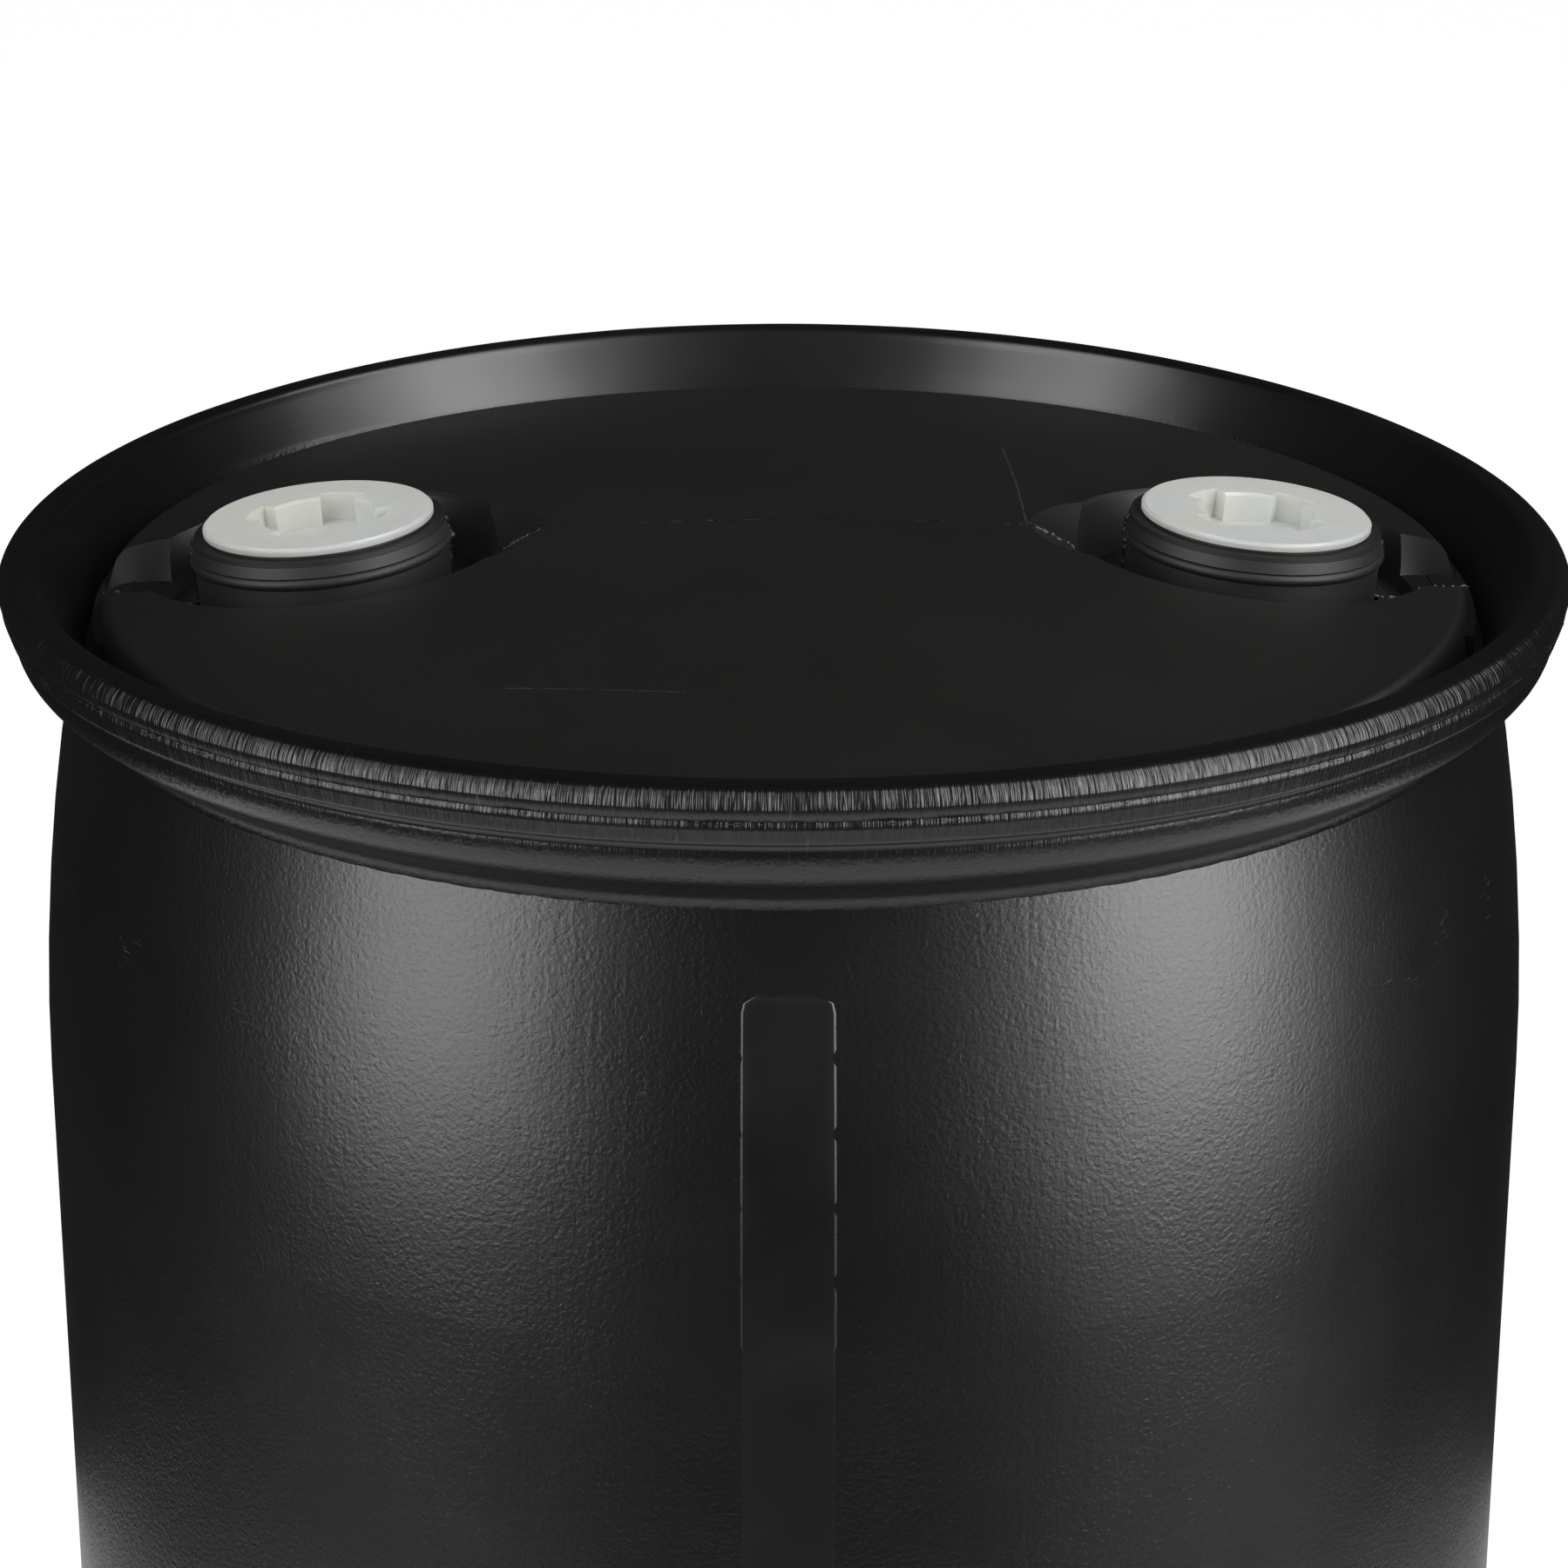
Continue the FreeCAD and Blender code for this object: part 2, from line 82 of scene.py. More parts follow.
class Graph:
    """A node tree with short calls for adding and joining nodes."""

    def __init__(self, tree: bpy.types.NodeTree) -> None:
        """Wraps a tree.

        Args:
            tree: the shader or geometry tree to build in.
        """
        self.tree = tree
        tree.nodes.clear()

    def add(self, kind: str, inputs: dict | None = None, **settings: object) -> bpy.types.Node:
        """Adds one node.

        Args:
            kind: the node's type name.
            inputs: values or output sockets for its inputs, by name or index.
            settings: plain properties of the node.

        Returns:
            The new node.
        """
        node = self.tree.nodes.new(kind)
        for word, value in settings.items():
            setattr(node, word, value)
        for key, value in (inputs or {}).items():
            socket = node.inputs[key]
            if isinstance(value, bpy.types.NodeSocket):
                self.tree.links.new(value, socket)
            else:
                socket.default_value = value
        return node

    def math(self, operation: str, *values: object, clamp: bool = False) -> bpy.types.NodeSocket:
        """One arithmetic step.

        Args:
            operation: the Math node's operation.
            values: up to three numbers or sockets.
            clamp: keep the result between 0 and 1.

        Returns:
            The result socket.
        """
        node = self.add("ShaderNodeMath", dict(enumerate(values)), operation=operation, use_clamp=clamp)
        return node.outputs[0]

    def step(self, value: object, low: float, high: float) -> bpy.types.NodeSocket:
        """A smooth 0 to 1 step as value goes from low to high.

        Args:
            value: the socket to step on.
            low: where the step starts.
            high: where the step ends.

        Returns:
            The step's socket.
        """
        node = self.add(
            "ShaderNodeMapRange",
            {"Value": value, "From Min": low, "From Max": high},
            interpolation_type="SMOOTHSTEP",
        )
        return node.outputs[0]

    def remap(
        self, value: object, start: float, end: float, low: float = 0.0, high: float = 1.0
    ) -> bpy.types.NodeSocket:
        """A straight-line change of range, kept within the new range.

        Args:
            value: the socket to change.
            start: the result where value is low.
            end: the result where value is high.
            low: the value that gives start.
            high: the value that gives end.

        Returns:
            The result socket.
        """
        inputs = {"Value": value, "From Min": low, "From Max": high, "To Min": start, "To Max": end}
        return self.add("ShaderNodeMapRange", inputs).outputs[0]

    def noise(self, vector: object, scale: float, detail: float = 2.0, **more: float) -> bpy.types.NodeSocket:
        """A noise pattern.

        Args:
            vector: the coordinates to read it at.
            scale: cells per metre.
            detail: octaves.
            more: other inputs of the node by name.

        Returns:
            The pattern's value, 0 to 1.
        """
        inputs = {"Vector": vector, "Scale": scale, "Detail": detail, **more}
        return self.add("ShaderNodeTexNoise", inputs).outputs[0]

    def mix(self, factor: object, first: object, second: object) -> bpy.types.NodeSocket:
        """Mixes two colours.

        Args:
            factor: 0 gives the first and 1 the second.
            first: a colour or socket.
            second: a colour or socket.

        Returns:
            The mixed colour.
        """
        node = self.add("ShaderNodeMix", data_type="RGBA")
        for index, value in ((0, factor), (6, first), (7, second)):
            if isinstance(value, bpy.types.NodeSocket):
                self.tree.links.new(value, node.inputs[index])
            elif index:
                node.inputs[index].default_value = (*value, 1.0)
            else:
                node.inputs[index].default_value = value
        return node.outputs[2]


class Shading(Graph):
    """A material's tree, with the object's coordinates and the usual bump chain."""

    def __init__(self, name: str) -> None:
        """Starts a material.

        Args:
            name: the material's name.
        """
        self.material = bpy.data.materials.new(name)
        self.material.use_nodes = True
        super().__init__(self.material.node_tree)
        self.place = self.add("ShaderNodeTexCoord").outputs["Object"]
        split = self.add("ShaderNodeSeparateXYZ", {0: self.place})
        self.x, self.y, self.z = split.outputs
        self.normal: bpy.types.NodeSocket | None = None

    def around(self, radius: float, stretch: float) -> bpy.types.NodeSocket:
        """Coordinates unrolled round the Z axis.

        Args:
            radius: radius in metres that turns an angle into a length.
            stretch: how much the height counts; small values give upright streaks.

        Returns:
            A vector of arc length, stretched height and a third constant.
        """
        angle = self.math("ARCTAN2", self.y, self.x)
        length = self.math("MULTIPLY", angle, radius)
        height = self.math("MULTIPLY", self.z, stretch)
        return self.add("ShaderNodeCombineXYZ", {0: length, 1: height}).outputs[0]

    def bump(self, height: bpy.types.NodeSocket, depth: float, strength: float = 1.0) -> None:
        """Adds one relief on top of those before it.

        Args:
            height: the relief, 0 to 1.
            depth: how deep a full step is, in metres.
            strength: how much of it shows.
        """
        inputs = {"Height": height, "Distance": depth, "Strength": strength}
        if self.normal is not None:
            inputs["Normal"] = self.normal
        self.normal = self.add("ShaderNodeBump", inputs).outputs[0]

    def stroke(self, start: Point3, end: Point3, width: float) -> bpy.types.NodeSocket:
        """A thin straight mark with soft edges.

        Args:
            start: one end of the mark.
            end: its other end.
            width: its full width in metres.

        Returns:
            The mark's strength, 1 on its line and 0 away from it.
        """
        span = tuple(b - a for a, b in zip(start, end))
        squared = sum(part * part for part in span)
        away = self.add("ShaderNodeVectorMath", {0: self.place, 1: start}, operation="SUBTRACT").outputs[0]
        along = self.add("ShaderNodeVectorMath", {0: away, 1: span}, operation="DOT_PRODUCT").outputs["Value"]
        share = self.math("DIVIDE", along, squared, clamp=True)
        reach = {axis: self.math("MULTIPLY", share, part) for axis, part in enumerate(span)}
        foot = self.add("ShaderNodeCombineXYZ", reach).outputs[0]
        distance = self.add("ShaderNodeVectorMath", {0: away, 1: foot}, operation="DISTANCE").outputs["Value"]
        return self.step(distance, width, 0.0)

    def strokes(self, marks: tuple[tuple[Point3, Point3, float], ...]) -> bpy.types.NodeSocket:
        """Several thin marks together, broken up so that they look dragged.

        Args:
            marks: start, end and width of each.

        Returns:
            Their joint strength.
        """
        total = self.stroke(*marks[0])
        for mark in marks[1:]:
            total = self.math("MAXIMUM", total, self.stroke(*mark))
        return self.math("MULTIPLY", total, self.step(self.noise(self.place, 900.0, 2.0), 0.32, 0.60))

    def finish(self, colour: object, roughness: object, **constants: object) -> bpy.types.Material:
        """Closes the material with its surface shader.

        Args:
            colour: base colour socket.
            roughness: roughness socket.
            constants: other shader inputs by name, with spaces as underscores.

        Returns:
            The finished material.
        """
        inputs = {"Base Color": colour, "Roughness": roughness}
        inputs.update({word.replace("_", " "): value for word, value in constants.items()})
        if self.normal is not None:
            inputs["Normal"] = self.normal
        surface = self.add("ShaderNodeBsdfPrincipled", inputs)
        self.add("ShaderNodeOutputMaterial", {"Surface": surface.outputs[0]})
        return self.material


def rim_point(radius: float, azimuth: float, height: float) -> Point3:
    """A point given round the drum's axis.

    Args:
        radius: distance from the axis, millimetres.
        azimuth: angle from +X, degrees.
        height: height above the floor, millimetres.

    Returns:
        The point, metres.
    """
    angle = math.radians(azimuth)
    return (radius * math.cos(angle) * MM, radius * math.sin(angle) * MM, height * MM)


def leather(s: Shading, per_metre: float) -> bpy.types.NodeSocket:
    """The fine leather-like grain of the blow mould.

    Args:
        s: the material being built.
        per_metre: grains per metre.

    Returns:
        The grain's height.
    """
    grain = s.noise(s.place, per_metre, 3.0, Roughness=0.55, Distortion=0.6)
    pits = s.add(
        "ShaderNodeTexVoronoi", {"Vector": s.place, "Scale": per_metre * 0.9}, feature="SMOOTH_F1"
    ).outputs[0]
    return s.math("ADD", grain, s.math("MULTIPLY", pits, 0.5))


@dataclass(frozen=True)
class BlackPlastic:
    """Blow-moulded black polyethylene: leather grain on the wall, a finer dull head."""

    name: str = "shell_black_plastic"
    wall_colour: Colour = (0.0026, 0.0030, 0.0036)
    head_colour: Colour = (0.0066, 0.0064, 0.0054)
    dust_colour: Colour = (0.045, 0.044, 0.040)
    scuff_colour: Colour = (0.060, 0.070, 0.085)
    grain_per_metre: float = 760.0
    grain_depth: float = 0.00014
    head_floor: float = 0.701
    bottom_ceiling: float = 0.036
    neck_offset: float = 0.1442
    neck_shift: float = 0.0012
    neck_reach: float = 0.0425
    marks: tuple[tuple[Point3, Point3, float], ...] = (
        ((0.0729, 0.0938, 0.7340), (0.0745, 0.0480, 0.7363), 0.0006),
        ((0.0745, 0.0480, 0.7363), (0.0749, 0.0020, 0.7371), 0.0006),
        ((0.0730, 0.0000, 0.7371), (0.0760, 0.0020, 0.7370), 0.0016),
        ((0.1600, 0.1560, 0.7200), (0.1442, 0.0781, 0.7294), 0.0004),
        ((-0.0805, -0.1322, 0.7305), (-0.0300, -0.1400, 0.7317), 0.0005),
        (rim_point(231.5, -117.0, 647.5), rim_point(231.5, -104.0, 646.5), 0.0006),
        (rim_point(231.4, -60.0, 653.0), rim_point(231.3, -55.0, 643.0), 0.0006),
        (rim_point(231.0, -91.1, 660.5), rim_point(231.0, -91.1, 657.5), 0.0010),
        (rim_point(231.6, -93.8, 615.0), rim_point(231.6, -93.4, 613.0), 0.0012),
    )

    def material(self) -> bpy.types.Material:
        """Builds the finish."""
        s = Shading(self.name)
        top = s.step(s.z, self.head_floor - MM, self.head_floor + MM)
        bottom = s.step(s.z, self.bottom_ceiling + MM, self.bottom_ceiling - MM)
        head = s.math("MAXIMUM", top, bottom)
        grain = leather(s, self.grain_per_metre)
        patch = s.noise(s.place, 26.0, 3.0)
        amount = s.remap(patch, 0.55, 1.0, low=0.3, high=0.7)
        depth = s.math("MULTIPLY", amount, s.remap(head, 1.0, 0.35))
        s.bump(s.noise(s.place, 9.0, 2.0), 0.0016, 0.6)
        streaks = s.noise(s.around(0.23, 0.02), 260.0, 3.0, Roughness=0.6)
        s.bump(streaks, 0.00010, 0.5)
        s.bump(s.math("MULTIPLY", grain, depth), self.grain_depth, 1.0)
        specks = s.step(s.noise(s.place, 900.0, 1.0), 0.70, 0.80)
        dust = s.math("MULTIPLY", specks, s.step(s.noise(s.place, 30.0, 2.0), 0.45, 0.65))
        haze = s.step(s.noise(s.place, 5.0, 4.0, Roughness=0.6), 0.35, 0.75)
        colour = s.mix(head, self.wall_colour, self.head_colour)
        colour = s.mix(s.math("MULTIPLY", haze, 0.035), colour, self.dust_colour)
        colour = s.mix(s.math("MULTIPLY", dust, s.math("MULTIPLY", head, 0.55)), colour, self.dust_colour)
        rub = s.math("MAXIMUM", self.scuff(s), s.math("MULTIPLY", s.strokes(self.marks), 0.8))
        colour = s.mix(rub, colour, self.scuff_colour)
        rough = s.remap(haze, 0.31, 0.36)
        rough = s.math("ADD", rough, s.math("MULTIPLY", head, 0.14), clamp=True)
        rough = s.math("ADD", rough, s.math("MULTIPLY", self.neck(s), 0.12), clamp=True)
        return s.finish(colour, rough, Specular_IOR_Level=0.55)

    def neck(self, s: Shading) -> bpy.types.NodeSocket:
        """Where the two necks stand, which are duller than the rest.

        Args:
            s: the material being built.

        Returns:
            1 on the necks and 0 elsewhere.
        """
        across = s.math("ABSOLUTE", s.math("SUBTRACT", s.x, self.neck_shift))
        offset = s.math("SUBTRACT", across, self.neck_offset)
        squares = s.math("ADD", s.math("MULTIPLY", offset, offset), s.math("MULTIPLY", s.y, s.y))
        return s.step(s.math("SQRT", squares), self.neck_reach + MM, self.neck_reach)

    def scuff(self, s: Shading) -> bpy.types.NodeSocket:
        """Fine slanting rub marks in bands at the height where drums touch each other.

        Args:
            s: the material being built.

        Returns:
            The marks' strength, 0 to 1.
        """
        band = s.math("MULTIPLY", s.step(s.z, 0.636, 0.646), s.step(s.z, 0.662, 0.650))
        unrolled = s.around(0.23, 1.0)
        slant = {"Vector": unrolled, "Rotation": (0.0, 0.0, 0.16), "Scale": (0.10, 1.0, 1.0)}
        turned = s.add("ShaderNodeMapping", slant).outputs[0]
        lines = s.step(s.noise(turned, 1500.0, 2.0), 0.58, 0.72)
        broken = s.step(s.noise(unrolled, 55.0, 3.0), 0.52, 0.68)
        return s.math("MULTIPLY", s.math("MULTIPLY", band, lines), s.math("MULTIPLY", broken, 0.8))


@dataclass(frozen=True)
class RingPlastic:
    """Smooth black polyethylene of the handling rings, with upright drag marks."""

    name: str = "ring_black_plastic"
    colour: Colour = (0.0050, 0.0053, 0.0058)
    scrape_colour: Colour = (0.060, 0.063, 0.066)
    radius: float = 0.240
    crest: float = 0.737
    smooth_depth: float = 0.0165
    grain_start: float = 0.0185
    grain_per_metre: float = 760.0
    grain_depth: float = 0.00014
    marks: tuple[tuple[Point3, Point3, float], ...] = (
        (rim_point(229.0, 157.3, 736.5), rim_point(224.1, 155.8, 727.0), 0.0008),
        (rim_point(229.5, 21.9, 737.0), rim_point(225.6, 21.3, 730.0), 0.0009),
        (rim_point(229.5, 8.5, 737.0), rim_point(225.0, 8.0, 729.0), 0.0008),
        (rim_point(227.0, 174.9, 734.8), rim_point(232.0, 174.9, 737.4), 0.0010),
        (rim_point(238.2, -138.0, 736.0), rim_point(240.0, -138.3, 731.0), 0.0008),
    )

    def material(self) -> bpy.types.Material:
        """Builds the finish."""
        s = Shading(self.name)
        front = s.remap(s.y, 0.12, 1.0, low=0.02, high=-0.16)
        reach = s.math("SQRT", s.math("ADD", s.math("MULTIPLY", s.x, s.x), s.math("MULTIPLY", s.y, s.y)))
        outer = s.step(reach, 0.2345, 0.2375)
        where = s.math("MULTIPLY", front, outer)
        upright = s.around(self.radius, 0.06)
        fine = s.noise(upright, 900.0, 2.0, Roughness=0.7)
        broad = s.noise(upright, 190.0, 2.0)
        nicks = s.step(s.noise(upright, 420.0, 1.0), 0.66, 0.72)
        cuts = s.step(s.noise(s.around(self.radius, 0.02), 120.0, 3.0, Roughness=0.7), 0.66, 0.70)
        s.bump(s.noise(s.place, 14.0, 2.0), 0.0012, 0.5)
        s.bump(s.math("MULTIPLY", fine, where), 0.0006, 1.0)
        s.bump(s.math("MULTIPLY", broad, where), 0.0012, 0.6)
        s.bump(s.math("MULTIPLY", s.math("ADD", nicks, cuts), where), 0.0003, -0.9)
        low = s.step(s.z, self.crest - self.smooth_depth, self.crest - self.grain_start)
        high = s.step(s.z, self.smooth_depth, self.grain_start)
        skirt = s.math("MULTIPLY", low, high)
        s.bump(s.math("MULTIPLY", leather(s, self.grain_per_metre), skirt), self.grain_depth, 1.0)
        patch = s.step(s.noise(s.place, 60.0, 3.0), 0.50, 0.66)
        drags = s.step(s.noise(s.around(self.radius, 0.10), 700.0, 2.0), 0.62, 0.74)
        scrape = s.math("MULTIPLY", drags, s.math("MULTIPLY", patch, where))
        scrape = s.math("MAXIMUM", scrape, s.strokes(self.marks))
        haze = s.step(s.noise(s.place, 7.0, 4.0), 0.35, 0.75)
        colour = s.mix(s.math("MULTIPLY", haze, 0.03), self.colour, self.scrape_colour)
        colour = s.mix(s.math("MULTIPLY", scrape, 0.75), colour, self.scrape_colour)
        rough = s.remap(haze, 0.26, 0.34)
        rough = s.math("ADD", rough, s.math("MULTIPLY", scrape, 0.15))
        return s.finish(colour, rough, Specular_IOR_Level=0.5)


@dataclass(frozen=True)
class FlashPlastic:
    """Thin torn edges of the moulding, paler where they are stressed."""

    name: str = "flash_black_plastic"
    colour: Colour = (0.012, 0.012, 0.012)
    torn_colour: Colour = (0.11, 0.11, 0.11)

    def material(self) -> bpy.types.Material:
        """Builds the finish."""
        s = Shading(self.name)
        torn = s.step(s.noise(s.place, 420.0, 3.0), 0.50, 0.72)
        colour = s.mix(s.math("MULTIPLY", torn, 0.55), self.colour, self.torn_colour)
        s.bump(s.noise(s.place, 1500.0, 2.0), 0.0001, 0.6)
        rough = s.remap(torn, 0.30, 0.50)
        return s.finish(colour, rough)


@dataclass(frozen=True)
class PanelPlastic:
    """The smooth strip that runs down the front of the shell."""

    name: str = "panel_black_plastic"
    colour: Colour = (0.0030, 0.0034, 0.0040)
    haze_colour: Colour = (0.006, 0.0064, 0.0068)

    def material(self) -> bpy.types.Material:
        """Builds the finish."""
        s = Shading(self.name)
        haze = s.step(s.noise(s.place, 24.0, 3.0), 0.35, 0.75)
        s.bump(s.noise(s.place, 9.0, 2.0), 0.0016, 0.6)
        s.bump(s.noise(s.place, 760.0, 2.0), 0.00005, 0.7)
        colour = s.mix(s.math("MULTIPLY", haze, 0.4), self.colour, self.haze_colour)
        rough = s.remap(haze, 0.33, 0.38)
        return s.finish(colour, rough, Specular_IOR_Level=0.55)


@dataclass(frozen=True)
class PlugPlastic:
    """Natural white polyethylene: milky, slightly see-through, faintly marked by tools."""

    name: str
    colour: Colour = (0.80, 0.83, 0.82)
    warm_colour: Colour = (0.76, 0.76, 0.70)
    grime_colour: Colour = (0.56, 0.55, 0.50)

    def material(self) -> bpy.types.Material:
        """Builds the finish."""
        s = Shading(self.name)
        cloud = s.step(s.noise(s.place, 45.0, 3.0), 0.30, 0.70)
        speck = s.step(s.noise(s.place, 900.0, 2.0), 0.70, 0.78)
        colour = s.mix(cloud, self.colour, self.warm_colour)
        colour = s.mix(s.math("MULTIPLY", speck, 0.3), colour, self.grime_colour)
        s.bump(s.noise(s.place, 120.0, 2.0), 0.0003, 0.5)
        s.bump(s.noise(s.place, 1600.0, 3.0), 0.00004, 0.6)
        rough = s.remap(cloud, 0.34, 0.46)
        return s.finish(
            colour,
            rough,
            Subsurface_Weight=0.6,
            Subsurface_Radius=(1.0, 1.0, 0.95),
            Subsurface_Scale=0.003,
        )


@dataclass(frozen=True)
class GasketRubber:
    """Dull black sealing rubber."""

    name: str
    colour: Colour = (0.016, 0.016, 0.016)
    bloom_colour: Colour = (0.05, 0.05, 0.05)

    def material(self) -> bpy.types.Material:
        """Builds the finish."""
        s = Shading(self.name)
        bloom = s.step(s.noise(s.place, 160.0, 3.0), 0.45, 0.75)
        s.bump(s.noise(s.place, 2200.0, 2.0), 0.00003, 0.6)
        colour = s.mix(s.math("MULTIPLY", bloom, 0.5), self.colour, self.bloom_colour)
        rough = s.remap(bloom, 0.6, 0.75)
        return s.finish(colour, rough)


@dataclass(frozen=True)
class StudioFloor:
    """Pale seamless paper."""

    name: str = "pale_floor"
    colour: Colour = (0.90, 0.90, 0.90)
    fibre_colour: Colour = (0.88, 0.88, 0.88)

    def material(self) -> bpy.types.Material:
        """Builds the finish."""
        s = Shading(self.name)
        colour = s.mix(s.noise(s.place, 30.0, 3.0), self.colour, self.fibre_colour)
        return s.finish(colour, 0.9, Emission_Color=(1.0, 1.0, 1.0, 1.0), Emission_Strength=0.56)


def mesh_object(name: str, mesh: bpy.types.Mesh) -> bpy.types.Object:
    """Links a mesh into the scene as an object at the origin.

    Args:
        name: the piece's name.
        mesh: its mesh.

    Returns:
        The new object.
    """
    piece = bpy.data.objects.new(name, mesh)
    bpy.context.scene.collection.objects.link(piece)
    return piece


def poly_curve(name: str, points: list[Point3], closed: bool) -> bpy.types.Object:
    """Makes a curve object of straight runs.

    Args:
        name: the curve's name.
        points: its points.
        closed: whether it joins up.

    Returns:
        The curve object.
    """
    curve = bpy.data.curves.new(name, "CURVE")
    curve.dimensions = "3D"
    spline = curve.splines.new("POLY")
    spline.points.add(len(points) - 1)
    for target, point in zip(spline.points, points):
        target.co = (*point, 1.0)
    spline.use_cyclic_u = closed
    holder = bpy.data.objects.new(name, curve)
    bpy.context.scene.collection.objects.link(holder)
    return holder


def bake(
    name: str, holder: bpy.types.Object, tree: bpy.types.NodeTree, values: dict[str, object]
) -> bpy.types.Object:
    """Runs a geometry tree on a holder and keeps the result as a plain mesh piece.

    Args:
        name: the piece's name.
        holder: the object that carries the tree's input geometry; it is removed.
        tree: the geometry tree.
        values: the tree's inputs by their names.

    Returns:
        The piece, at the origin, with no modifier.
    """
    modifier = holder.modifiers.new("nodes", "NODES")
    modifier.node_group = tree
    for item in tree.interface.items_tree:
        if item.item_type == "SOCKET" and item.in_out == "INPUT" and item.name in values:
            modifier[item.identifier] = values[item.name]
    graph = bpy.context.evaluated_depsgraph_get()
    mesh = bpy.data.meshes.new_from_object(holder.evaluated_get(graph), depsgraph=graph)
    mesh.name = name
    bpy.data.objects.remove(holder)
    return mesh_object(name, mesh)


def geometry_tree(name: str, inputs: dict[str, str]) -> tuple[Graph, bpy.types.Node]:
    """Starts a geometry tree with a geometry input and output and named inputs.

    Args:
        name: the tree's name.
        inputs: socket types by input name.

    Returns:
        The tree's graph and its input node.
    """
    tree = bpy.data.node_groups.new(name, "GeometryNodeTree")
    tree.interface.new_socket("Geometry", in_out="INPUT", socket_type="NodeSocketGeometry")
    for word, kind in inputs.items():
        tree.interface.new_socket(word, in_out="INPUT", socket_type=kind)
    tree.interface.new_socket("Geometry", in_out="OUTPUT", socket_type="NodeSocketGeometry")
    graph = Graph(tree)
    return graph, graph.add("NodeGroupInput")


def close_tree(
    graph: Graph, geometry: bpy.types.NodeSocket, material: bpy.types.NodeSocket
) -> bpy.types.NodeTree:
    """Ends a tree with smooth shading, real geometry and its material.

    Args:
        graph: the tree being built.
        geometry: the socket to close.
        material: the material input's socket.

    Returns:
        The finished tree.
    """
    smooth = graph.add("GeometryNodeSetShadeSmooth", {"Geometry": geometry}).outputs[0]
    real = graph.add("GeometryNodeRealizeInstances", {"Geometry": smooth}).outputs[0]
    dressed = graph.add("GeometryNodeSetMaterial", {"Geometry": real, "Material": material}).outputs[0]
    graph.add("NodeGroupOutput", {0: dressed})
    return graph.tree


@dataclass
class FlashFins:
    """Ragged fins of flash that follow a path, as a geometry tree."""

    name: str = "flash_fins"
    step: float = 0.5 * MM

    def tree(self) -> bpy.types.NodeTree:
        """Builds the tree: a triangle swept along the path, scaled by noise."""
        graph, given = geometry_tree(
            self.name,
            {
                "Width": "NodeSocketFloat",
                "Height": "NodeSocketFloat",
                "Lean": "NodeSocketFloat",
                "Raggedness": "NodeSocketFloat",
                "Gaps": "NodeSocketFloat",
                "Wander": "NodeSocketFloat",
                "Seed": "NodeSocketFloat",
                "Material": "NodeSocketMaterial",
            },
        )
        out = given.outputs
        course = {"Curve": out["Geometry"], "Length": self.step}
        path = graph.add("GeometryNodeResampleCurve", course, mode="LENGTH")
        place = graph.add("GeometryNodeInputPosition").outputs[0]
        ragged = graph.add(
            "ShaderNodeTexNoise",
            {"Vector": place, "W": out["Seed"], "Scale": out["Raggedness"], "Detail": 3.0, "Roughness": 0.65},
            noise_dimensions="4D",
        ).outputs[0]
        size = graph.add(
            "ShaderNodeMapRange",
            {"Value": ragged, "From Min": out["Gaps"], "From Max": 0.75, "To Min": 0.12, "To Max": 1.0},
        ).outputs[0]
        drift = graph.add(
            "ShaderNodeTexNoise",
            {"Vector": place, "W": out["Seed"], "Scale": 130.0, "Detail": 2.0},
            noise_dimensions="4D",
        ).outputs[1]
        centred = graph.add("ShaderNodeVectorMath", {0: drift, 1: (0.5, 0.5, 0.5)}, operation="SUBTRACT")
        scaled = {0: centred.outputs[0], "Scale": out["Wander"]}
        shift = graph.add("ShaderNodeVectorMath", scaled, operation="SCALE").outputs[0]
        drifted = {"Geometry": path.outputs[0], "Offset": shift}
        moved = graph.add("GeometryNodeSetPosition", drifted).outputs[0]
        corner = graph.add("GeometryNodeCurvePrimitiveCircle", {"Resolution": 3, "Radius": 1.0}).outputs[0]
        stretch = graph.add("ShaderNodeCombineXYZ", {0: out["Height"], 1: out["Width"], 2: 1.0}).outputs[0]
        sized = graph.add("GeometryNodeTransform", {"Geometry": corner, "Scale": stretch}).outputs[0]
        turn = graph.add("ShaderNodeCombineXYZ", {2: out["Lean"]}).outputs[0]
        leaned = graph.add("GeometryNodeTransform", {"Geometry": sized, "Rotation": turn}).outputs[0]
        swept = graph.add(
            "GeometryNodeCurveToMesh",
            {"Curve": moved, "Profile Curve": leaned, "Scale": size, "Fill Caps": True},
        ).outputs[0]
        return close_tree(graph, swept, out["Material"])


